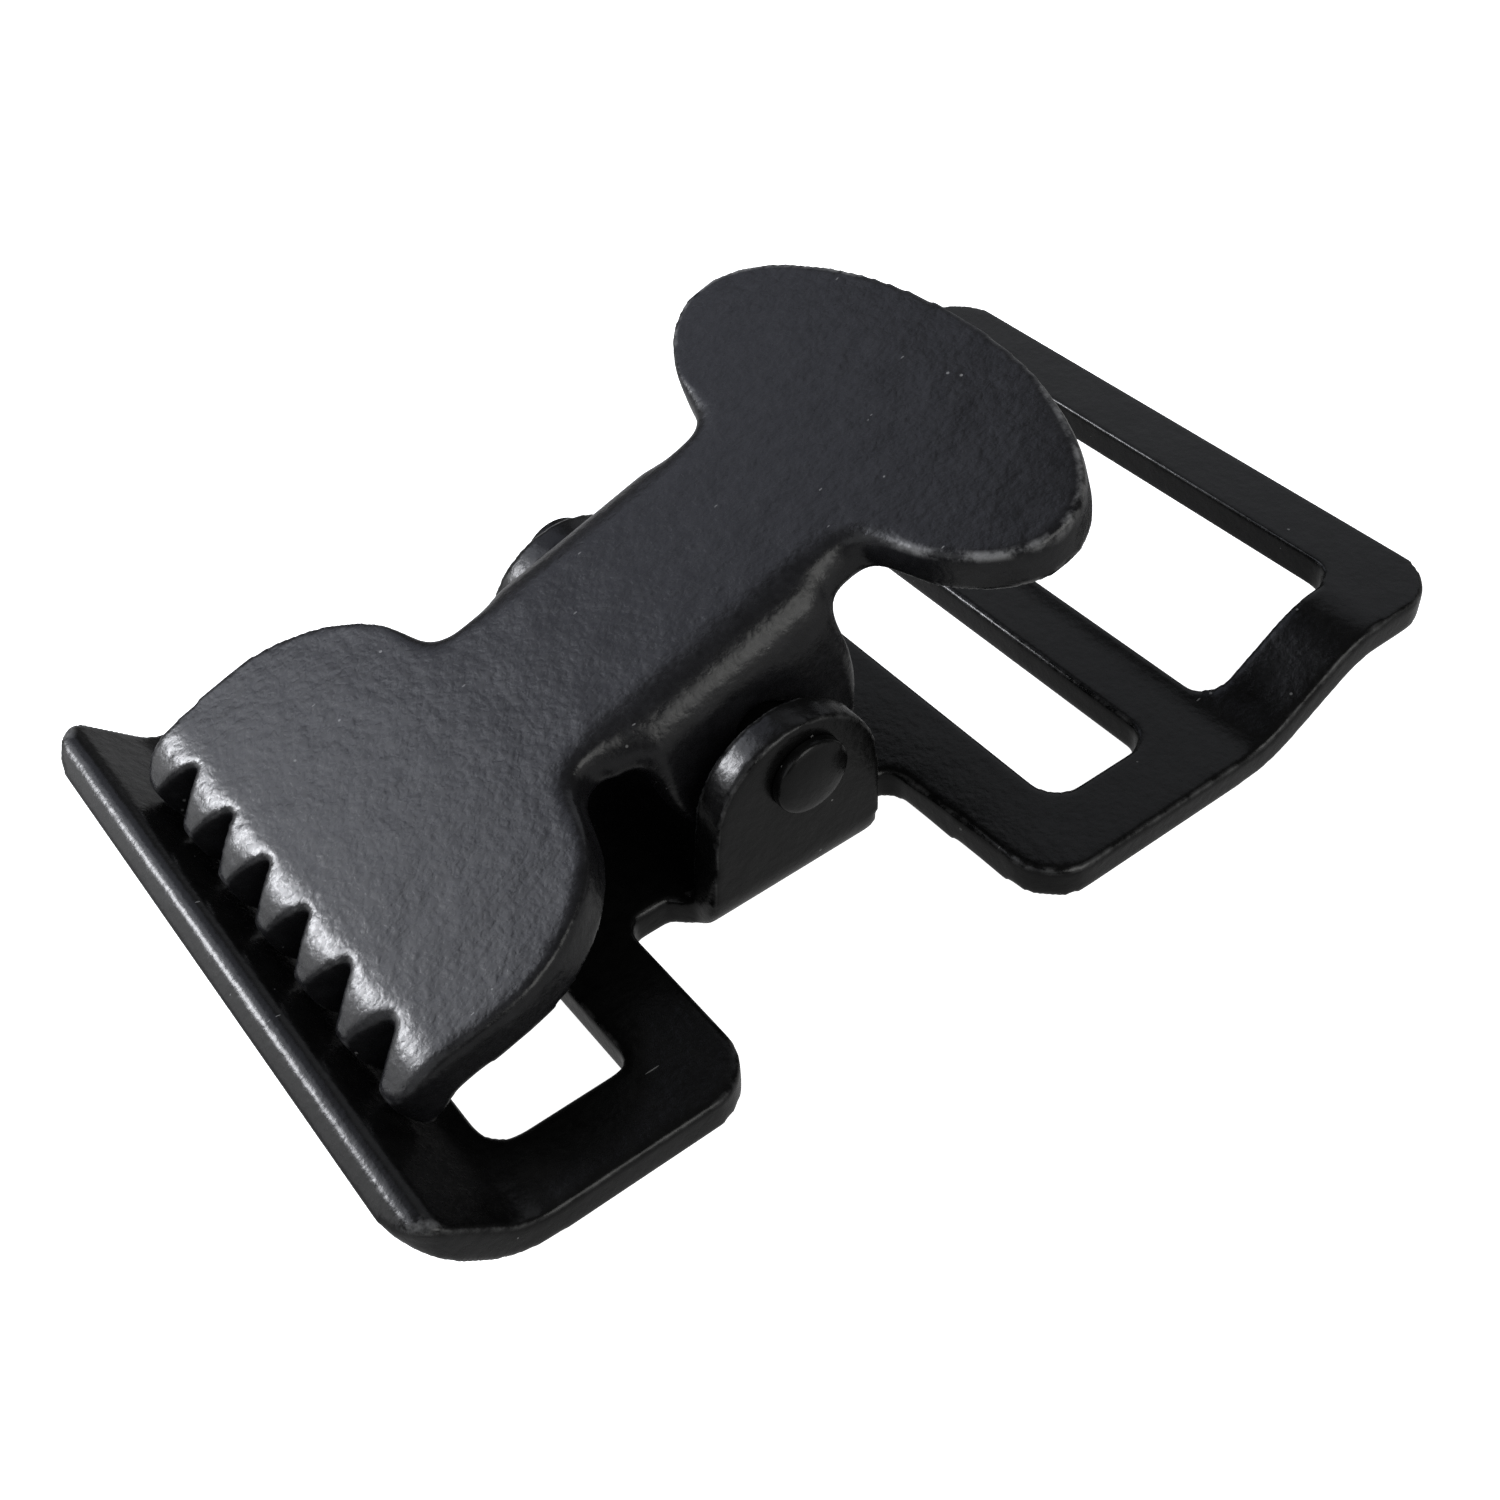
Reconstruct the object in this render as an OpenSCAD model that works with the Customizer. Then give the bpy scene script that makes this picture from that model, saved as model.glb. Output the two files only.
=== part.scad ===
// Cam buckle for webbing: a stamped sheet frame, a sprung lever with a toothed head, and its pin.
// +X runs along the strap towards the slotted end, +Y across it, and the frame's flat
// underside lies at z = 0, with the pin's axis above x = 0.

/* [Frame plan] */
// Width of the toothed end, across the strap
jaw_w = 34.1; // [33.5:0.1:34.5]
// Width of the slotted end, across the strap
tail_w = 34.6; // [34:0.1:35]
// Width of the waist between the relief notches
waist_w = 14.3; // [14:0.1:14.6]
// Thickness of the frame's sheet
sheet_t = 1.7; // [1.6:0.05:1.8]
// Inner edge of the toothed end's plate, behind the pin
jaw_inner_x = -8.35; // [-9:0.05:-8]
// Inner edge of the slotted end's plate beside the waist
tail_inner_x = 6.6; // [6.4:0.05:7]
// Outer edge of the end bar
tail_end_x = 32.7; // [32.5:0.1:33.5]

/* [Window and strap slots] */
// Window in the toothed end: its edge at the lip
window_x0 = -18.8; // [-19:0.05:-18.5]
// Window in the toothed end: its edge at the waist
window_x1 = -12.25; // [-12.5:0.05:-11.8]
// Width of the window across the strap
window_w = 26.4; // [26:0.1:27]
// Strap slot next to the waist: near edge
slot1_x0 = 10.95; // [10.5:0.05:11.2]
// Strap slot next to the waist: far edge
slot1_x1 = 17.1; // [16.8:0.05:17.2]
// Strap slot at the end bar: near edge
slot2_x0 = 20.9; // [20.6:0.05:21.2]
// Strap slot at the end bar: far edge
slot2_x1 = 29.2; // [29:0.05:29.4]
// Width of both strap slots across the strap
slot_w = 26.9; // [26.5:0.1:27.6]

/* [Lip and end bar] */
// Slope of the turned-up lip
lip_angle = 44.4; // [42:0.2:46]
// Start of the lip's bend
lip_bend_x = -18.1; // [-18.3:0.05:-18]
// Straight length of the lip beyond its bend
lip_length = 3.9; // [3.8:0.05:4]
// Height that the end bar is raised by
tail_rise = 3.5; // [3.3:0.1:3.7]
// Start of the raise
tail_bend_x = 19.5; // [19.2:0.1:19.8]
// Slope of the raise
tail_angle = 32; // [30:1:34]

/* [Ears and pin] */
// Distance of the near ear's outer face from the centre line
near_ear_y = 9.4; // [9.3:0.05:9.5]
// Distance of the far ear's outer face from the centre line
far_ear_y = 8.7; // [8.6:0.05:9.5]
// Radius of the ear's round top, which is half its width
ear_r = 4.4; // [4.3:0.05:4.5]
// Distance of the ear's middle from the pin, towards the lip
ear_back = 0.4; // [0.3:0.05:0.5]
// Height of the centre of the ear's round top
ear_centre_z = 5.85; // [5.8:0.05:6]
// Height of the pin's axis above the frame's underside
pin_z = 7.5; // [7.4:0.05:7.6]
// Radius of the pin's shank
pin_r = 1.5; // [1.4:0.05:1.55]
// Radius of the pin's two flat heads
pin_head_r = 1.85; // [1.8:0.05:2]
// Height of the near head above its ear
pin_head_h = 0.8; // [0.75:0.05:1]

/* [Lever] */
// Tilt of the lever when it is closed
lever_tilt = 17.74; // [17.5:0.02:18]
// Distance from the pin's axis to the lever's top face
lever_rise = 5.1; // [5.08:0.01:5.2]
// Thickness of the lever's sheet
lever_t = 2.2; // [2.1:0.05:2.25]
// Width over the outside of the lever's two flanges
flanges_w = 13.2; // [13:0.1:13.4]
// Radius of a flange's round lower end, about the pin
flange_r = 5.1; // [5:0.05:5.15]
// Reach of a flange from the pin towards the paddle
flange_reach = 5.4; // [5.3:0.05:5.5]
// Width of the stem beside the flanges
stem_w = 10.5; // [10.4:0.1:10.6]

/* [Toothed head] */
// Distance from the pin to the tooth tips, along the lever
tip_u = 21.36; // [21.3:0.02:21.4]
// Distance from the pin to the notch roots, along the lever
root_u = 19.22; // [19.1:0.02:19.4]
// Spacing of the teeth
tooth_pitch = 3.53; // [3.5:0.01:3.55]
// Radius of the head's round shoulder
shoulder_r = 7.7; // [7.6:0.05:7.8]
// Slope of the bent-down teeth against the head
tooth_angle = 32; // [30:1:34]

/* [Thumb paddle] */
// Distance from the pin to the paddle's centre, along the lever
paddle_u = 13.15; // [13.1:0.05:13.3]
// Length of the oval paddle along the lever
paddle_l = 12; // [11.9:0.1:12.1]
// Width of the oval paddle across the lever
paddle_w = 24.8; // [24.6:0.1:25]

/* [Spring] */
// Radius of the spring's wire
wire_r = 0.45; // [0.4:0.05:0.45]
// Turns of the coil
spring_turns = 6; // [5:1:6]

/* [Hidden] */

coating = [0.11, 0.11, 0.12];
spring_steel = [0.16, 0.16, 0.17];

plan_low = -1;              // prisms cut from a plan start below every face
plan_high = 12;
arc_steps = 12;             // facets in a quarter turn of an outline
hole_fn = 64;

teeth = 7;

jaw_corner_r = 2.5;         // corner beside the waist
lip_corner_r = 3;           // on the flat sheet, before the lip is bent up
lip_edge_r = 0.85;          // rounding of the lip's inner edge, under the teeth
tail_corner_r = 2.6;        // corner beside the waist
end_corner_r = 2.8;
notch_r = 0.8;
shoulder_step = 0.4;        // the slotted end's shoulder leans back by this much
lip_side_corner_r = 1.5;    // the window's corners beside the lip and the waist
waist_side_corner_r = 0.8;
slot_corner_r = 1.4;

lip_bend_r = 3.2 + sheet_t / 2;   // radii of bends are at mid thickness
tail_bend_r = 5.3;
ear_bend_r = 0.7 + sheet_t / 2;
flare_run = 1.3;            // flare in the waist beside the ear, along and across
flare_w = 1;
ear_spread = 0.5;           // an ear's root is wider than its top by this, towards the lip

lip_bend_end = [lip_bend_x - lip_bend_r * sin(lip_angle),
    sheet_t / 2 + lip_bend_r * (1 - cos(lip_angle))];
lip_out = [-cos(lip_angle), sin(lip_angle)];    // along the lip's slope, in side view
lip_up = [sin(lip_angle), cos(lip_angle)];      // square to it, towards the teeth
lip_end_x = lip_bend_end[0] + lip_length * lip_out[0] - sheet_t / 2 * lip_up[0];
tail_run = (tail_rise - 2 * tail_bend_r * (1 - cos(tail_angle))) / sin(tail_angle);

fit_gap = 0.05;             // between the pin and the ears that it is riveted into
running_gap = 0.08;         // between the pin and the flanges that turn on it
head_edge = 0.25;           // bevel round the face of the pin's heads

fold_r = 2.4;               // outside radius of the flanges' folds
stem_flat_w = flanges_w - 2 * fold_r;
run_out_w = 11.7;           // width where the folds run out into the stem's two necks
run_out_front_u = -6.54;
run_out_back_u = 7.46;
neck_r = 1.6;               // hollow between the stem and the head
shoulder_u = -15.64;
shoulder_y = 4.5;
tooth_bend_u = -18.54;
tooth_bend_r = 4;
tip_flat = 0.36;            // half width of a tooth's tip
root_r = 0.36;
notch_depth = 3.8;
notch_taper = 0.12;         // a notch's width at its depth, as a share of its width at the top
notch_spread = 1.3;         // makes up for the taper where the teeth bend down
notch_hollow = 0.58;        // width partway to the root, as a share of the width at the tips
notch_hollow_l = 0.9;       // and how far from the tips that is
tip_gap = 0.15;             // between the closed teeth and the lip
lip_space_reach = 5;

coil_r = pin_r + 0.3 + wire_r;
coil_pitch = 2 * wire_r + 0.06;
coil_half = spring_turns * coil_pitch / 2;
leg_clear = 0.12;           // between a leg's end and what it presses on
wire_sides = 8;
turn_steps = 20;

function oval_arc(cx, cy, rx, ry, a0, a1, n = arc_steps) =
    [for (i = [0:n]) let (a = a0 + (a1 - a0) * i / n) [cx + rx * cos(a), cy + ry * sin(a)]];

function arc(cx, cy, r, a0, a1, n = arc_steps) = oval_arc(cx, cy, r, r, a0, a1, n);

function bezier(p0, p1, p2, n = 6) =
    [for (i = [0:n]) let (t = i / n) (1 - t) * (1 - t) * p0 + 2 * t * (1 - t) * p1 + t * t * p2];

function mirrored(half) =
    concat(half, [for (i = [len(half) - 1:-1:0]) [half[i][0], -half[i][1]]]);

// A line of stations [along, height, slope] becomes a strip of the given thickness.
function strip(line, t) =
    concat([for (s = line) [s[0] - sin(s[2]) * t / 2, s[1] + cos(s[2]) * t / 2]],
        [for (i = [len(line) - 1:-1:0]) let (s = line[i])
            [s[0] + sin(s[2]) * t / 2, s[1] - cos(s[2]) * t / 2]]);

module rounded_slot(x0, x1, w, r0, r1) {
    polygon(mirrored(concat(
        arc(x0 + r0, w / 2 - r0, r0, 180, 90),
        arc(x1 - r1, w / 2 - r1, r1, 90, 0))));
}

// Half of the frame's plan, from the lip along the +Y side to the end bar
function frame_half_plan() = concat(
    oval_arc(lip_end_x + lip_corner_r * cos(lip_angle), jaw_w / 2 - lip_corner_r,
        lip_corner_r * cos(lip_angle), lip_corner_r, 180, 90),
    arc(jaw_inner_x - jaw_corner_r, jaw_w / 2 - jaw_corner_r, jaw_corner_r, 90, 0),
    arc(jaw_inner_x + notch_r, waist_w / 2 + notch_r, notch_r, 180, 270),
    arc(tail_inner_x - notch_r, waist_w / 2 + notch_r, notch_r, 270, 360),
    arc(tail_inner_x + shoulder_step + tail_corner_r, tail_w / 2 - tail_corner_r,
        tail_corner_r, 180, 90),
    arc(tail_end_x - end_corner_r, tail_w / 2 - end_corner_r, end_corner_r, 90, 0));

// The frame's side view at mid thickness, from the lip to the end bar
function frame_line() = let (
        mid = sheet_t / 2,
        lip_end = lip_bend_end + lip_length * lip_out,
        run_x = tail_bend_x + tail_bend_r * sin(tail_angle),
        top_x = run_x + tail_run * cos(tail_angle) + tail_bend_r * sin(tail_angle),
        top_z = mid + tail_rise)
    concat(
        [[lip_end[0], lip_end[1], -lip_angle]],
        [for (i = [arc_steps:-1:0]) let (a = lip_angle * i / arc_steps)
            [lip_bend_x - lip_bend_r * sin(a), mid + lip_bend_r * (1 - cos(a)), -a]],
        [for (i = [0:arc_steps]) let (a = tail_angle * i / arc_steps)
            [tail_bend_x + tail_bend_r * sin(a), mid + tail_bend_r * (1 - cos(a)), a]],
        [for (i = [arc_steps:-1:0]) let (a = tail_angle * i / arc_steps)
            [top_x - tail_bend_r * sin(a), top_z - tail_bend_r * (1 - cos(a)), a]],
        [[tail_end_x + 1, top_z, 0]]);

// The strip of that line, with the lip's inner edge rounded
function frame_profile() = let (
        all = strip(frame_line(), sheet_t),
        c = all[0] - lip_edge_r * (lip_out + lip_up),
        turn = arc(0, 0, lip_edge_r, 0, 90, 6))
    concat([for (p = turn) c + p[0] * lip_out + p[1] * lip_up],
        [for (i = [1:len(all) - 1]) all[i]]);

module frame_strip() {
    intersection() {
        translate([0, 0, plan_low]) linear_extrude(plan_high - plan_low) difference() {
            polygon(mirrored(frame_half_plan()));
            rounded_slot(window_x0, window_x1, window_w, lip_side_corner_r, waist_side_corner_r);
            rounded_slot(slot1_x0, slot1_x1, slot_w, slot_corner_r, slot_corner_r);
            rounded_slot(slot2_x0, slot2_x1, slot_w, slot_corner_r, slot_corner_r);
        }
        rotate([90, 0, 0]) linear_extrude(2 * tail_w, center = true)
            polygon(frame_profile());
    }
}

// An ear's section across the strap: a foot in the waist, a quarter bend and the upright
function ear_section(ear_y) = let (
        inner = ear_y - sheet_t,
        ri = ear_bend_r - sheet_t / 2,
        ro = ear_bend_r + sheet_t / 2,
        yc = inner - ri,
        top = ear_centre_z + ear_r + 1)
    concat([[yc - 1.5, 0]], arc(yc, ro, ro, 270, 360), [[inner + sheet_t, top], [inner, top]],
        arc(yc, ro, ri, 360, 270), [[yc - 1.5, sheet_t]]);

module ear(side, ear_y) {
    left = -ear_back - ear_r;
    root = left - ear_spread;
    intersection() {
        rotate([90, 0, 90]) linear_extrude(4 * ear_r, center = true)
            scale([side, 1]) polygon(ear_section(ear_y));
        rotate([90, 0, 0]) linear_extrude(4 * ear_y, center = true)
            polygon(concat([[left - flare_run, 0], [ear_r - ear_back, 0]],
                arc(-ear_back, ear_centre_z, ear_r, 0, 180, 3 * arc_steps),
                [[root, sheet_t], [left - flare_run, sheet_t]]));
        translate([0, 0, plan_low]) linear_extrude(plan_high - plan_low)
            polygon(mirrored([[left - flare_run, waist_w / 2], [root, waist_w / 2 + flare_w],
                [root, 2 * ear_y], [ear_r, 2 * ear_y]]));
    }
}

module pin_bore(r, width) {
    rotate([90, 0, 0]) cylinder(r = r, h = width, center = true, $fn = hole_fn);
}

module frame() {
    color(coating) difference() {
        union() {
            frame_strip();
            ear(1, far_ear_y);
            ear(-1, near_ear_y);
        }
        translate([0, 0, pin_z]) pin_bore(pin_r + fit_gap, 4 * near_ear_y);
    }
}

// The lever is drawn round the pin's axis, with u along it and v square to its top face.
module lever_place() {
    translate([0, 0, pin_z]) rotate([0, -lever_tilt, 0]) children();
}

// Half of the lever's plan, from the tooth tips along the +Y side to the end of the paddle
function lever_half_plan() = let (
        outer_tip = (teeth - 1) / 2 * tooth_pitch + tip_flat,
        side_y = shoulder_y + shoulder_r,
        half_stem = stem_w / 2,
        rise = half_stem + neck_r - shoulder_y,
        neck_u = shoulder_u + sqrt(pow(shoulder_r + neck_r, 2) - pow(rise, 2)),
        turn = atan2(rise, neck_u - shoulder_u),
        start = 149)
    concat(
        bezier([-tip_u, outer_tip], [-tip_u + 0.5, side_y - 0.2], [-root_u - 0.2, side_y - 0.3], 4),
        arc(shoulder_u, shoulder_y, shoulder_r, 90, turn, 2 * arc_steps),
        arc(neck_u, half_stem + neck_r, neck_r, 180 + turn, 270),
        bezier([paddle_u - 6.5, half_stem], [paddle_u - 5.6, half_stem],
            [paddle_u + paddle_l / 2 * cos(start), paddle_w / 2 * sin(start)]),
        [for (i = [1:3 * arc_steps]) let (a = start * (1 - i / (3 * arc_steps)))
            [paddle_u + paddle_l / 2 * cos(a), paddle_w / 2 * sin(a)]]);

// The lever's side view at mid thickness, from the tooth tips to the paddle
function lever_line() = let (
        mid = lever_rise - lever_t / 2,
        r = tooth_bend_r - lever_t / 2,
        bend_u = tooth_bend_u - r * sin(tooth_angle),
        bend_v = mid - r * (1 - cos(tooth_angle)))
    concat(
        [[bend_u - 3 * cos(tooth_angle), bend_v - 3 * sin(tooth_angle), tooth_angle]],
        [for (i = [arc_steps:-1:0]) let (a = tooth_angle * i / arc_steps)
            [tooth_bend_u - r * sin(a), mid - r * (1 - cos(a)), a]],
        [[paddle_u + paddle_l, mid, 0]]);

// A notch between two teeth, cut from above: it narrows towards the lower face.
module notch(y) {
    half = (tooth_pitch / 2 - tip_flat) * notch_spread;
    side = [[-tip_u - 0.5, half + 0.2], [-tip_u, half],
        [-tip_u + notch_hollow_l, notch_hollow * half]];
    translate([0, y, lever_rise]) mirror([0, 0, 1])
        linear_extrude(notch_depth, scale = [1, notch_taper])
            polygon(mirrored(concat(side, arc(-root_u - root_r, 0, root_r, 60, 0, 4))));
}

// The stem's flat top is narrower between the flanges, where its edges are folded down.
module fold_space() {
    for (side = [-1, 1]) translate([-flange_r, side * (stem_flat_w + stem_w) / 2 - stem_w / 2, 0])
        cube([flange_r + flange_reach, stem_w, 2 * lever_rise]);
}

module lever_sheet() {
    difference() {
        intersection() {
            linear_extrude(2 * lever_rise) polygon(mirrored(lever_half_plan()));
            rotate([90, 0, 0]) linear_extrude(2 * paddle_w, center = true)
                polygon(strip(lever_line(), lever_t));
        }
        for (i = [0:teeth - 2]) notch((i - (teeth - 2) / 2) * tooth_pitch);
        fold_space();
    }
}

// The stem's section between the flanges: a flat top, two folds and two uprights
function flange_half_section() = let (
        yc = stem_flat_w / 2,
        vc = lever_rise - fold_r,
        low = -flange_r - 1)
    concat(arc(yc, vc, fold_r, 90, 0), [[yc + fold_r, low], [yc + fold_r - lever_t, low]],
        arc(yc, vc, fold_r - lever_t, 0, 90, 4));

module flanges() {
    half = flange_half_section();
    intersection() {
        rotate([90, 0, 90]) linear_extrude(3 * flange_r, center = true)
            polygon(concat(half, [for (i = [len(half) - 1:-1:0]) [-half[i][0], half[i][1]]]));
        rotate([90, 0, 0]) linear_extrude(2 * flanges_w, center = true)
            polygon(concat([[flange_reach, lever_rise + 1], [-flange_r, lever_rise + 1]],
                arc(0, 0, flange_r, 180, 270, 2 * arc_steps),
                oval_arc(0, 0, flange_reach, flange_r, 270, 360, 2 * arc_steps)));
    }
}

// The necks keep a little of the folds' outward slope below the stem's top edge.
module run_outs() {
    low = lever_rise - lever_t;
    half = run_out_w / 2;
    translate([run_out_front_u, 0, 0]) rotate([90, 0, 90])
        linear_extrude(run_out_back_u - run_out_front_u) polygon([
            [-half, low], [half, low], [half, lever_rise - 1.3], [stem_w / 2, lever_rise - 0.4],
            [-stem_w / 2, lever_rise - 0.4], [-half, lever_rise - 1.3]]);
}

// The lip and a small gap above it, which are cut off the closed lever's tooth tips
module lip_space() {
    top = lip_bend_end + (sheet_t / 2 + tip_gap) * lip_up;
    rotate([90, 0, 0]) linear_extrude(2 * jaw_w, center = true)
        polygon([for (c = [[-1, 0], [1, 0], [1, -1], [-1, -1]])
            top + lip_space_reach * (c[0] * lip_out + c[1] * lip_up)]);
}

module lever() {
    color(coating) difference() {
        lever_place() difference() {
            union() {
                lever_sheet();
                flanges();
                run_outs();
            }
            pin_bore(pin_r + running_gap, 2 * flanges_w);
        }
        lip_space();
    }
}

// The two heads end equally far from the centre line, so the one on the far ear is the taller.
module pin() {
    far_y = far_ear_y + fit_gap;
    near_y = near_ear_y + fit_gap;
    end_y = near_y + pin_head_h;
    color(coating) translate([0, 0, pin_z]) rotate([90, 0, 0])
        rotate_extrude($fn = hole_fn) polygon([
            [0, -end_y], [pin_head_r - head_edge, -end_y], [pin_head_r, head_edge - end_y],
            [pin_head_r, -far_y], [pin_r, -far_y], [pin_r, near_y], [pin_head_r, near_y],
            [pin_head_r, end_y - head_edge], [pin_head_r - head_edge, end_y], [0, end_y]]);
}

// Where the spring's two legs end, as [x, z]: on the frame's plate and under the stem
frame_leg = [7.2, sheet_t + wire_r + leg_clear];
lever_leg_u = 6.4;
lever_leg_v = lever_rise - lever_t - wire_r - leg_clear;
lever_leg = [lever_leg_u * cos(lever_tilt) - lever_leg_v * sin(lever_tilt),
    pin_z + lever_leg_u * sin(lever_tilt) + lever_leg_v * cos(lever_tilt)];

// Angle at which a straight leg from the coil reaches a point, below or above the pin
function leg_angle(p, side) = let (
        dx = p[0],
        dz = p[1] - pin_z,
        far = sqrt(dx * dx + dz * dz))
    atan2(dz, dx) + side * acos(coil_r / far);

function spring_path() = let (
        low = leg_angle(frame_leg, -1),
        high = leg_angle(lever_leg, 1),
        sweep = high - low - 360 * spring_turns,
        steps = round(abs(sweep) / 360 * turn_steps))
    concat([[frame_leg[0], -coil_half, frame_leg[1]]],
        [for (i = [0:steps]) let (a = low + sweep * i / steps)
            [coil_r * cos(a), coil_half * (2 * i / steps - 1), pin_z + coil_r * sin(a)]],
        [[lever_leg[0], coil_half, lever_leg[1]]]);

function unit(v) = v / norm(v);

// A round wire swept along a path that never runs along Y
module wire(path, r) {
    n = len(path);
    rings = [for (i = [0:n - 1]) let (
            along = unit(path[min(i + 1, n - 1)] - path[max(i - 1, 0)]),
            side = unit(cross(along, [0, 1, 0])),
            up = cross(side, along))
        for (k = [0:wire_sides - 1]) let (a = 360 * k / wire_sides)
            path[i] + r * (cos(a) * side + sin(a) * up)];
    walls = [for (i = [0:n - 2], k = [0:wire_sides - 1]) let (m = (k + 1) % wire_sides)
        [i * wire_sides + k, i * wire_sides + m, (i + 1) * wire_sides + m, (i + 1) * wire_sides + k]];
    polyhedron(points = rings, faces = concat(walls,
        [[for (k = [wire_sides - 1:-1:0]) k]],
        [[for (k = [0:wire_sides - 1]) (n - 1) * wire_sides + k]]));
}

module spring() {
    color(spring_steel) wire(spring_path(), wire_r);
}

frame();
lever();
pin();
spring();
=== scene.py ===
from math import acos, atan2, cos, hypot, pi, radians, sin

import bpy
from mathutils import Matrix, Vector


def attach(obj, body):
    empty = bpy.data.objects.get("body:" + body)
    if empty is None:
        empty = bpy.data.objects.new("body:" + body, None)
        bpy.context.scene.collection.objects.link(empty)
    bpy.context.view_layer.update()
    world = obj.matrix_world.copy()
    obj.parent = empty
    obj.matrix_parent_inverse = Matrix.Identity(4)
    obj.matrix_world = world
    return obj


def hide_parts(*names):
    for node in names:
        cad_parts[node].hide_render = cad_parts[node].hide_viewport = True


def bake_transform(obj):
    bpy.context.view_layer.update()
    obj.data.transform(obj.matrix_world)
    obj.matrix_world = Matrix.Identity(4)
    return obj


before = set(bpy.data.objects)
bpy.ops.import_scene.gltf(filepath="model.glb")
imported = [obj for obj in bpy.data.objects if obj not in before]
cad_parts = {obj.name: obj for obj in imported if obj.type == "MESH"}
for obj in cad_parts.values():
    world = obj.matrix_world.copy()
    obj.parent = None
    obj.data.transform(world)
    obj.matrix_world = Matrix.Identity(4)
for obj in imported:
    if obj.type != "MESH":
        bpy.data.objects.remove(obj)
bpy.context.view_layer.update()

mm = 0.001
pinAxis = Vector((0, 0, 7.5)) * mm
print("frame loaded:", ", ".join(sorted(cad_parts)))


# Small helpers for picking and editing

def pickOnly(piece):
    bpy.ops.object.select_all(action="DESELECT")
    piece.select_set(True)
    bpy.context.view_layer.objects.active = piece


def editAll(piece):
    pickOnly(piece)
    bpy.ops.object.mode_set(mode="EDIT")
    bpy.ops.mesh.select_all(action="SELECT")


def pickVerts(piece, wanted):
    bpy.ops.object.mode_set(mode="OBJECT")
    for polygon in piece.data.polygons:
        polygon.select = False
    for edge in piece.data.edges:
        edge.select = False
    for vertex in piece.data.vertices:
        vertex.select = wanted(vertex.co)
    bpy.ops.object.mode_set(mode="EDIT")
    bpy.ops.mesh.select_mode(type="VERT")


def applyAll(piece):
    pickOnly(piece)
    for modifier in list(piece.modifiers):
        bpy.ops.object.modifier_apply(modifier=modifier.name)


def applyPlace(piece):
    pickOnly(piece)
    bpy.ops.object.transform_apply(location=True, rotation=True, scale=True)


# Camera at the photo's angle

cameraPlan = {
    "sensor": 36,               # millimetres wide
    "lens": 43.709,
    "azimuth": -34.472,         # degrees
    "elevation": 44.779,
    "roll": -3.826,
    "place": (-32.22, -52.27, 62.11),   # millimetres
}


def placeCamera(plan):
    bpy.ops.object.camera_add()
    camera = bpy.context.object
    camera.name = "photoCamera"
    camera.data.sensor_width = plan["sensor"]
    camera.data.lens = plan["lens"]
    camera.data.clip_start = 1 * mm
    camera.data.clip_end = 10
    turn = (Matrix.Rotation(radians(plan["azimuth"]), 4, "Z")
            @ Matrix.Rotation(radians(90 - plan["elevation"]), 4, "X")
            @ Matrix.Rotation(radians(plan["roll"]), 4, "Z"))
    camera.matrix_world = Matrix.Translation(Vector(plan["place"]) * mm) @ turn
    bpy.context.scene.camera = camera


placeCamera(cameraPlan)
print("camera placed")


# Materials

def fillInputs(tree, node, values):
    for name, value in values.items():
        if isinstance(value, bpy.types.NodeSocket):
            tree.links.new(value, node.inputs[name])
        else:
            node.inputs[name].default_value = value


def addNode(tree, kind, place, values, **settings):
    node = tree.nodes.new(kind)
    node.location = place
    for name, value in settings.items():
        setattr(node, name, value)
    fillInputs(tree, node, values)
    return node


def combine(tree, place, operation, *values, clamp=False):
    node = addNode(tree, "ShaderNodeMath", place, dict(enumerate(values)),
                   operation=operation, use_clamp=clamp)
    return node.outputs[0]


# The scale of a texture whose cells are about this many millimetres across
def cellScale(size):
    return 1 / (size * mm)


# Fine pebbles of the coating, a coarser unevenness under them, and a few shallow dimples
def coatHeight(tree, spots, grain, look):
    pebbles = addNode(tree, "ShaderNodeTexVoronoi", (-1100, -300), {
        "Vector": spots, "Scale": cellScale(look["pebble"]), "Smoothness": look["pebbleMelt"],
    }, feature="SMOOTH_F1")
    swell = addNode(tree, "ShaderNodeTexNoise", (-1100, -900), {
        "Vector": spots, "Scale": cellScale(look["swell"])})
    dimples = addNode(tree, "ShaderNodeTexVoronoi", (-1100, -1200), {
        "Vector": spots, "Scale": cellScale(look["dimple"])})
    dip = addNode(tree, "ShaderNodeMapRange", (-850, -1200), {
        "Value": dimples.outputs["Distance"],
        "From Min": look["dimpleFloor"], "From Max": look["dimpleRim"],
    }, interpolation_type="SMOOTHSTEP")
    fine = combine(tree, (-850, -450), "MULTIPLY_ADD",
                   pebbles.outputs["Distance"], -look["pebbleDepth"], grain)
    uneven = combine(tree, (-650, -550), "MULTIPLY_ADD",
                     swell.outputs["Fac"], look["swellDepth"], fine)
    return combine(tree, (-500, -750), "MULTIPLY_ADD",
                   dip.outputs[0], look["dimpleDepth"], uneven)


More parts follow.
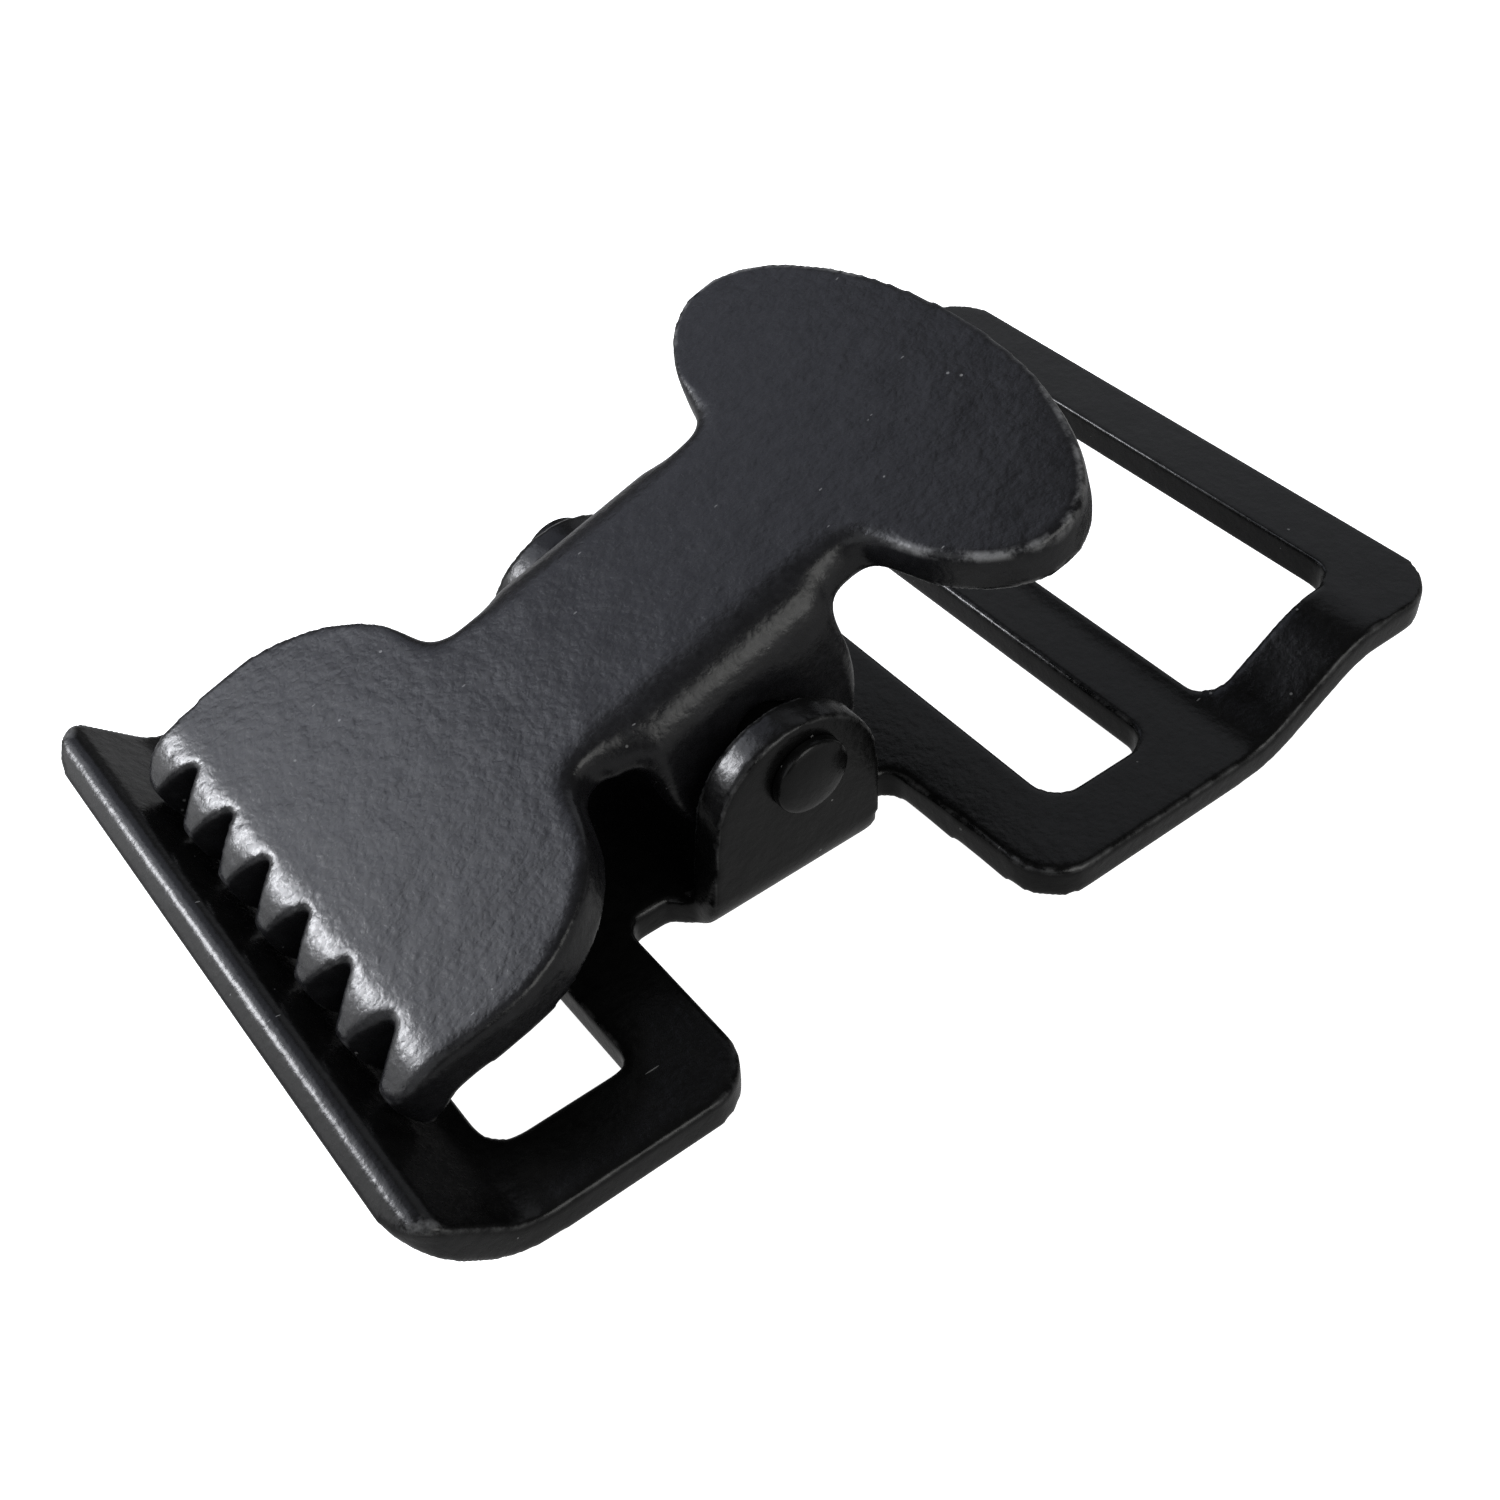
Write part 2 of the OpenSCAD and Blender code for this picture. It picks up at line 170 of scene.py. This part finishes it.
# Bright specks and short scratches
def coatMarks(tree, spots, look):
    specks = addNode(tree, "ShaderNodeTexVoronoi", (-1100, 750), {
        "Vector": spots, "Scale": cellScale(look["speck"])})
    lay = addNode(tree, "ShaderNodeMapping", (-1250, 1000), {
        "Vector": spots, "Rotation": (0, 0, radians(look["scratchTurn"])),
        "Scale": (look["scratchStretch"], 1, 1)})
    scratches = addNode(tree, "ShaderNodeTexVoronoi", (-1100, 1000), {
        "Vector": lay.outputs["Vector"], "Scale": cellScale(look["scratch"])})
    speck = combine(tree, (-850, 750), "LESS_THAN",
                    specks.outputs["Distance"], look["speckSize"])
    scratch = combine(tree, (-850, 1000), "LESS_THAN",
                      scratches.outputs["Distance"], look["scratchSize"])
    return combine(tree, (-650, 850), "MAXIMUM", speck, scratch)


# The coating is thin in patches along the rims, and the same lightening also paints highlight lines
# there
def coatWearAndHighlight(tree, patches, look):
    rim = addNode(tree, "ShaderNodeAttribute", (-1100, 500), {}, attribute_name="rim")
    edge = addNode(tree, "ShaderNodeMapRange", (-850, 500), {
        "Value": rim.outputs["Fac"], "From Min": look["edgeFrom"], "From Max": look["edgeTo"]})
    broken = addNode(tree, "ShaderNodeMapRange", (-850, 250), {
        "Value": patches, "From Min": look["patchFrom"], "From Max": look["patchTo"]})
    wornAndHighlit = combine(tree, (-650, 400), "MULTIPLY", edge.outputs[0], broken.outputs[0], clamp=True)
    return combine(tree, (-500, 400), "MULTIPLY", wornAndHighlit, look["wearAndHighlight"])


def coatingMaterial(name, look):
    material = bpy.data.materials.new(name)
    material.use_nodes = True
    tree = material.node_tree
    spots = addNode(tree, "ShaderNodeTexCoord", (-1400, 0), {}).outputs["Object"]
    grain = addNode(tree, "ShaderNodeTexNoise", (-1100, -600), {
        "Vector": spots, "Scale": cellScale(look["grain"]),
        "Detail": look["grainDetail"]}).outputs["Fac"]
    patches = addNode(tree, "ShaderNodeTexNoise", (-1100, 250), {
        "Vector": spots, "Scale": cellScale(look["patch"]),
        "Detail": look["patchDetail"], "Roughness": look["patchRough"]}).outputs["Fac"]
    bump = addNode(tree, "ShaderNodeBump", (-400, -550), {
        "Strength": look["bump"], "Distance": look["bumpDepth"] * mm,
        "Height": coatHeight(tree, spots, grain, look)})

    # deep black with a faint cloudiness; greyer at marks, at thinned coating on the rims, and at
    # the rims' painted highlight lines
    cloud = addNode(tree, "ShaderNodeValToRGB", (-650, 100), {"Fac": patches})
    for stop, place, colour in zip(cloud.color_ramp.elements, look["cloudEnds"],
                                   (look["dark"], look["light"])):
        stop.position = place
        stop.color = (*colour, 1)
    rubbedAndHighlit = combine(tree, (-400, 500), "MULTIPLY_ADD", coatMarks(tree, spots, look),
                     look["markTone"], coatWearAndHighlight(tree, patches, look), clamp=True)
    tone = addNode(tree, "ShaderNodeMix", (-300, 250), {
        "Factor": rubbedAndHighlit, "A": cloud.outputs["Color"], "B": (*look["bareAndHighlight"], 1),
    }, data_type="RGBA")

    # the gloss is uneven between the pebbles
    gloss = addNode(tree, "ShaderNodeMapRange", (-400, -150), {
        "Value": grain, "From Min": look["glossFrom"], "From Max": look["glossTo"],
        "To Min": look["smooth"], "To Max": look["rough"]})
    fillInputs(tree, tree.nodes["Principled BSDF"], {
        "Base Color": tone.outputs["Result"], "Roughness": gloss.outputs[0],
        "Normal": bump.outputs["Normal"], "Specular IOR Level": look["specular"]})
    return material


# Cells, bumpDepth and the edge values are in millimetres, dimples and marks are shares of a cell
frameLook = {
    "pebble": 0.45, "pebbleMelt": 0.8, "pebbleDepth": 0.8,
    "grain": 0.22, "grainDetail": 4,
    "swell": 2.4, "swellDepth": 4,
    "dimple": 1.5, "dimpleFloor": 0.04, "dimpleRim": 0.2, "dimpleDepth": 0.25,
    "bump": 0.4, "bumpDepth": 0.03,
    "speck": 2.1, "speckSize": 0.034,
    "scratch": 0.9, "scratchSize": 0.035, "scratchTurn": 35, "scratchStretch": 0.09,
    "markTone": 0.7,
    # the edge values and the share after them set how far rims turn bare grey: partly thinned
    # coating, partly painted highlight lines
    "edgeFrom": 0.056, "edgeTo": 0.1, "wearAndHighlight": 0.5,
    "patch": 0.8, "patchDetail": 6, "patchRough": 0.65, "patchFrom": 0.42, "patchTo": 0.62,
    "cloudEnds": (0.35, 0.68),
    "dark": (0.002, 0.002, 0.002), "light": (0.004, 0.004, 0.004), "bareAndHighlight": (0.16, 0.16, 0.16),
    "glossFrom": 0.3, "glossTo": 0.7, "smooth": 0.2, "rough": 0.3, "specular": 0.2,
}
leverLook = dict(frameLook, dark=(0.005, 0.005, 0.0056), light=(0.009, 0.009, 0.01),
                 bump=0.62, dimpleDepth=0.45, specular=0.27, smooth=0.22, rough=0.33,
                 edgeFrom=0.05, edgeTo=0.09, wearAndHighlight=0.65)
wireLook = dict(frameLook, dark=(0.02, 0.02, 0.022), light=(0.03, 0.03, 0.033),
                smooth=0.25, rough=0.35)

frameCoating = coatingMaterial("frameCoating", frameLook)
leverCoating = coatingMaterial("leverCoating", leverLook)
pinCoating = coatingMaterial("pinCoating", frameLook)
wireBlack = coatingMaterial("wireBlack", wireLook)
print("materials made")


# Stamped sheet pieces: a copy of the solid gets a skin whose edges are rounded as in pressing

def copyOfNode(node, name):
    piece = bpy.data.objects.new(name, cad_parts[node].data.copy())
    bpy.context.scene.collection.objects.link(piece)
    editAll(piece)
    bpy.ops.mesh.remove_doubles(threshold=0.002 * mm)
    bpy.ops.object.mode_set(mode="OBJECT")
    return piece


def turnAbout(piece, angle, centre):
    editAll(piece)
    bpy.ops.transform.rotate(value=angle, orient_axis="Y", center_override=centre)
    bpy.ops.object.mode_set(mode="OBJECT")


def smoothOut(piece, passes, zone=""):
    melt = piece.modifiers.new("melt", "SMOOTH")
    melt.factor = 0.5
    melt.iterations = passes
    melt.vertex_group = zone
    applyAll(piece)


def softenEdges(piece, plan):
    skin = piece.modifiers.new("skin", "REMESH")
    skin.mode = "VOXEL"
    skin.voxel_size = plan["voxel"] * mm
    smoothOut(piece, plan["rounding"])
    bpy.ops.object.shade_smooth()


def smootherCopy(piece, passes):
    copy = piece.copy()
    copy.data = piece.data.copy()
    bpy.context.scene.collection.objects.link(copy)
    smoothOut(copy, passes)
    return copy


def isInside(spot, low, high):
    return all(low[i] < spot[i] / mm < high[i] for i in range(3))


# How far a smoothed copy of the piece stands out past a smoother one, in millimetres: high on rims
def markRims(piece, plan):
    near = smootherCopy(piece, plan["rimNear"])
    far = smootherCopy(piece, plan["rimFar"])
    rim = piece.data.attributes.new("rim", "FLOAT", "POINT")
    for vertex, soft, softer, mark in zip(piece.data.vertices, near.data.vertices,
                                          far.data.vertices, rim.data):
        mark.value = (soft.co - softer.co).dot(vertex.normal) / mm
        # inside the listed boxes the rim value is raised, which lightens those rims as thinned
        # coating and as painted highlight
        for low, high, factor in plan["rubbedAndHighlit"]:
            if isInside(vertex.co, low, high):
                mark.value *= factor
    bpy.data.objects.remove(near)
    bpy.data.objects.remove(far)


def dress(piece, material):
    piece.data.materials.clear()
    piece.data.materials.append(material)


# Frame: the boxes listed last, in millimetres, lighten the lip's top edge more, partly thinned
# coating and partly a painted highlight

framePlan = {
    "voxel": 0.2, "rounding": 6,
    "rimNear": 6, "rimFar": 26,
    "rubbedAndHighlit": (((-24, -17, 4.6), (-20, 17, 6), 1.25),),
}

stampedFrame = copyOfNode("frame", "stampedFrame")
softenEdges(stampedFrame, framePlan)
markRims(stampedFrame, framePlan)
dress(stampedFrame, frameCoating)
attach(stampedFrame, "frame_body")
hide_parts("frame")
print("frame:", len(stampedFrame.data.polygons), "faces")


# Lever: it is levelled while some of its zones are drawn out more softly than its cut edges

leverPlan = {
    "voxel": 0.18, "rounding": 8, "tilt": 17.74, "fade": 0.8,
    "foldIn": 3.6, "foldEnd": 6.2, "foldLow": 1.2, "foldRounding": 90,
    "runOutAt": 6.6, "runOutReach": 2.3, "runOutIn": 3.8, "runOutRounding": 90,
    "rollIn": 5, "rollFade": 2, "rollLow": 4, "rollRounding": 24,
    "rimNear": 6, "rimFar": 26,
    # the boxes below lighten the paddle's near and far rims more: partly thinned coating, partly
    # painted highlights
    "rubbedAndHighlit": (((4, -14, 12), (16, -6, 18), 2), ((8, 6, 12), (20, 14, 20), 1.9)),
}


def ramp(value, width):
    return min(1, max(0, value / width))


# The bends between the stem and its two flanges
def foldWeight(plan, along, across, up):
    fade = plan["fade"]
    return (ramp(abs(across) - plan["foldIn"], fade) * ramp(plan["foldEnd"] - abs(along), fade)
            * ramp(up - plan["foldLow"], fade))


# The ends of those bends, where they run out into the head and the paddle
def runOutWeight(plan, along, across, up):
    ends = abs(abs(along) - plan["runOutAt"])
    return (ramp(plan["runOutReach"] - ends, plan["fade"])
            * ramp(abs(across) - plan["runOutIn"], plan["fade"]))


# The near side of the head and of the paddle
def rollWeight(plan, along, across, up):
    return (ramp(-across - plan["rollIn"], plan["rollFade"])
            * ramp(up - plan["rollLow"], plan["fade"]))


def meltZone(piece, plan, weightOf, passes):
    zone = piece.vertex_groups.new(name="zone")
    for vertex in piece.data.vertices:
        weight = weightOf(plan, *((vertex.co - pinAxis) / mm))
        if weight > 0:
            zone.add([vertex.index], weight, "REPLACE")
    smoothOut(piece, passes, "zone")
    piece.vertex_groups.clear()


toothedLever = copyOfNode("lever", "toothedLever")
turnAbout(toothedLever, -radians(leverPlan["tilt"]), pinAxis)
softenEdges(toothedLever, leverPlan)
meltZone(toothedLever, leverPlan, foldWeight, leverPlan["foldRounding"])
meltZone(toothedLever, leverPlan, runOutWeight, leverPlan["runOutRounding"])
meltZone(toothedLever, leverPlan, rollWeight, leverPlan["rollRounding"])
turnAbout(toothedLever, radians(leverPlan["tilt"]), pinAxis)
markRims(toothedLever, leverPlan)
dress(toothedLever, leverCoating)
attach(toothedLever, "lever_body")
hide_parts("lever")
print("lever:", len(toothedLever.data.polygons), "faces")


# Pin with a low domed head on each side

pinPlan = {
    "shank": 1.5, "head": 1.85,         # radii
    "nearEar": 9.45, "farEar": 8.75,    # where each head begins, from the centre line
    "rim": 9.84, "dome": 0.4,           # where both domes begin, and how far they rise
    "domeTurn": 84, "domeSteps": 9,     # the dome's arc in degrees, and its rings
    "soft": 0.06,
}


def makePin(plan):
    bpy.ops.object.select_all(action="DESELECT")
    shank = plan["nearEar"] + plan["farEar"]
    middle = Vector((0, plan["farEar"] - shank / 2, 0)) * mm
    bpy.ops.mesh.primitive_cylinder_add(vertices=96, radius=plan["shank"] * mm, depth=shank * mm,
                                        location=pinAxis + middle, rotation=(pi / 2, 0, 0))
    pin = bpy.context.object
    pin.name = "rivetPin"
    applyPlace(pin)
    grow = plan["head"] / plan["shank"]
    turns = [step / plan["domeSteps"] * radians(plan["domeTurn"])
             for step in range(plan["domeSteps"] + 1)]
    for side, ear in ((-1, plan["nearEar"]), (1, plan["farEar"])):
        end = side * ear * mm
        centre = (0, end, pinAxis.z)
        pickVerts(pin, lambda spot: abs(spot.y - end) < 0.01 * mm)
        bpy.ops.mesh.extrude_region_move()
        bpy.ops.transform.resize(value=(grow, 1, grow), center_override=centre)
        bpy.ops.mesh.extrude_region_move(
            TRANSFORM_OT_translate={"value": (0, side * (plan["rim"] - ear) * mm, 0)})
        for last, turn in zip(turns, turns[1:]):
            rise = side * plan["dome"] * mm * (sin(turn) - sin(last))
            shrink = cos(turn) / cos(last)
            bpy.ops.mesh.extrude_region_move(TRANSFORM_OT_translate={"value": (0, rise, 0)})
            bpy.ops.transform.resize(value=(shrink, 1, shrink), center_override=centre)
        bpy.ops.object.mode_set(mode="OBJECT")
    soft = pin.modifiers.new("soft", "BEVEL")
    soft.width = plan["soft"] * mm
    soft.segments = 4
    soft.limit_method = "ANGLE"
    soft.angle_limit = radians(50)
    applyAll(pin)
    bpy.ops.object.shade_smooth_by_angle(angle=radians(40))
    return pin


rivetPin = makePin(pinPlan)
dress(rivetPin, pinCoating)
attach(rivetPin, "frame_body")
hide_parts("pin")
print("pin:", len(rivetPin.data.polygons), "faces")


# Torsion spring: a coil round the pin and two straight legs

springPlan = {
    "wire": 0.45, "coil": 2.25,     # radii
    "turns": 6, "turnSteps": 28,
    "half": 2.88,                   # half of the coil's length
    "frameLeg": (7.2, 2.27),        # where the leg on the plate ends, as x and z
    "leverLeg": (6.4, 2.33),        # the other's end from the pin, along the lever and square to it
    "legPick": 1.04,                # reach of a leg's first points round its start, in wire radii
    "twisting": 0.8,                # share of the coil over which the lever's turn is spread
}


def legAngle(plan, reach, side):
    return atan2(reach[1], reach[0]) + side * acos(plan["coil"] / hypot(*reach))


def coilSpot(plan, angle, across):
    return pinAxis + Vector((plan["coil"] * cos(angle), across, plan["coil"] * sin(angle))) * mm


def pullLeg(spring, plan, start, end):
    pickVerts(spring, lambda spot: (spot - start).length < plan["legPick"] * plan["wire"] * mm)
    bpy.ops.mesh.select_mode(type="EDGE")
    bpy.ops.mesh.extrude_region_move(TRANSFORM_OT_translate={"value": end - start})
    bpy.ops.mesh.edge_face_add()
    bpy.ops.object.mode_set(mode="OBJECT")


def makeSpring(plan):
    half = plan["half"]
    tilt = radians(leverPlan["tilt"])
    along, up = plan["leverLeg"]
    frameReach = (plan["frameLeg"][0], plan["frameLeg"][1] - pinAxis.z / mm)
    leverReach = (along * cos(tilt) - up * sin(tilt), along * sin(tilt) + up * cos(tilt))
    low = legAngle(plan, frameReach, -1)
    high = legAngle(plan, leverReach, 1)
    bpy.ops.object.select_all(action="DESELECT")
    bpy.ops.mesh.primitive_circle_add(vertices=16, radius=plan["wire"] * mm,
                                      location=(plan["coil"] * mm, -half * mm, 0))
    spring = bpy.context.object
    spring.name = "torsionSpring"
    applyPlace(spring)
    coil = spring.modifiers.new("coil", "SCREW")
    coil.axis = "Y"
    coil.angle = 2 * pi * plan["turns"] - (high - low)
    coil.screw_offset = 2 * half * mm
    coil.steps = coil.render_steps = plan["turnSteps"] * plan["turns"]
    applyAll(spring)
    spring.rotation_euler = (0, -low, 0)
    spring.location = pinAxis
    applyPlace(spring)
    for angle, across, reach in ((low, -half, frameReach), (high, half, leverReach)):
        end = pinAxis + Vector((reach[0], across, reach[1])) * mm
        pullLeg(spring, plan, coilSpot(plan, angle, across), end)
    editAll(spring)
    bpy.ops.mesh.normals_make_consistent(inside=False)
    bpy.ops.object.mode_set(mode="OBJECT")
    bpy.ops.object.shade_smooth_by_angle(angle=radians(40))
    return spring


torsionSpring = makeSpring(springPlan)
dress(torsionSpring, wireBlack)
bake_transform(torsionSpring)
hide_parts("spring")
print("spring:", len(torsionSpring.data.polygons), "faces")


# Floor and light

stagePlan = {
    "floor": 3,                 # metres across
    "backdrop": 0.49,           # radius of the backdrop, as a share of the floor
    "paleHeight": -0.02,        # millimetres
    "paleness": 0.8, "paleGlow": 1,
    "dimHeight": -0.04,
    "dimness": 0.1, "dimGlow": 0.33,
    "paperRough": 0.9,
    "world": 0.12,
    "far": 0.3,                 # metres from the buckle to each light
    "lights": {
        "keyBox": {"towards": (-0.6, 0.62, 0.5), "size": 0.08, "watts": 0.8,
                   "tint": (0.95, 0.96, 1)},
        "topBox": {"towards": (-0.48, 0.6, 0.64), "size": 0.2, "watts": 0.39,
                   "tint": (0.88, 0.91, 1)},
        "overBox": {"towards": (-0.02, 0.7, 0.72), "size": 0.18, "watts": 0.08,
                    "tint": (0.78, 0.82, 1)},
        "leftBox": {"towards": (-0.78, 0.6, 0.15), "size": 0.2, "watts": 0.2,
                    "tint": (0.97, 0.98, 1)},
        "rightBox": {"towards": (0.7, 0.45, 0.55), "size": 0.24, "watts": 0.08,
                     "tint": (0.9, 0.93, 1)},
        "nearBox": {"towards": (0.12, -0.75, 0.65), "size": 0.2, "watts": 0.34,
                    "tint": (1, 1, 0.97)},
        "sideBox": {"towards": (-0.8, -0.25, 0.55), "size": 0.34, "watts": 0.24,
                    "tint": (0.95, 0.97, 1)},
        "frontBox": {"towards": (0.35, -0.88, 0.2), "size": 0.3, "watts": 0.14,
                     "tint": (1, 1, 1)},
    },
}


def addSoftLight(name, far, plan):
    towards = Vector(plan["towards"]).normalized()
    bpy.ops.object.light_add(type="AREA", location=towards * far)
    light = bpy.context.object
    light.name = name
    light.rotation_euler = towards.to_track_quat("Z", "Y").to_euler()
    light.data.shape = "DISK"
    light.data.size = plan["size"]
    light.data.energy = plan["watts"]
    light.data.color = plan["tint"]


def dressStage(sheet, name, paleness, glow):
    sheet.name = name
    paper = bpy.data.materials.new(name + "Paper")
    paper.use_nodes = True
    fillInputs(paper.node_tree, paper.node_tree.nodes["Principled BSDF"], {
        "Base Color": (paleness, paleness, paleness, 1), "Roughness": stagePlan["paperRough"],
        "Emission Color": (1, 1, 1, 1), "Emission Strength": glow})
    sheet.data.materials.append(paper)


def makeStage(plan):
    # the buckle mirrors a dimmer sheet that lies right under the clean white floor
    bpy.ops.object.select_all(action="DESELECT")
    bpy.ops.mesh.primitive_plane_add(size=plan["floor"], location=(0, 0, plan["dimHeight"] * mm))
    dressStage(bpy.context.object, "dimSheet", plan["dimness"], plan["dimGlow"])
    bpy.ops.mesh.primitive_plane_add(size=plan["floor"], location=(0, 0, plan["paleHeight"] * mm))
    dressStage(bpy.context.object, "paleFloor", plan["paleness"], plan["paleGlow"])
    bpy.ops.mesh.primitive_uv_sphere_add(radius=plan["backdrop"] * plan["floor"])
    dressStage(bpy.context.object, "paleBackdrop", plan["paleness"], plan["paleGlow"])
    for name in ("paleFloor", "paleBackdrop"):
        paper = bpy.data.objects[name]
        paper.visible_glossy = paper.visible_diffuse = paper.visible_shadow = False
    world = bpy.data.worlds.new("studio")
    world.use_nodes = True
    fillInputs(world.node_tree, world.node_tree.nodes["Background"], {
        "Color": (1, 1, 1, 1), "Strength": plan["world"]})
    bpy.context.scene.world = world
    for name, light in plan["lights"].items():
        addSoftLight(name, plan["far"], light)
    bpy.context.scene.view_settings.view_transform = "Standard"


makeStage(stagePlan)
print("stage made")
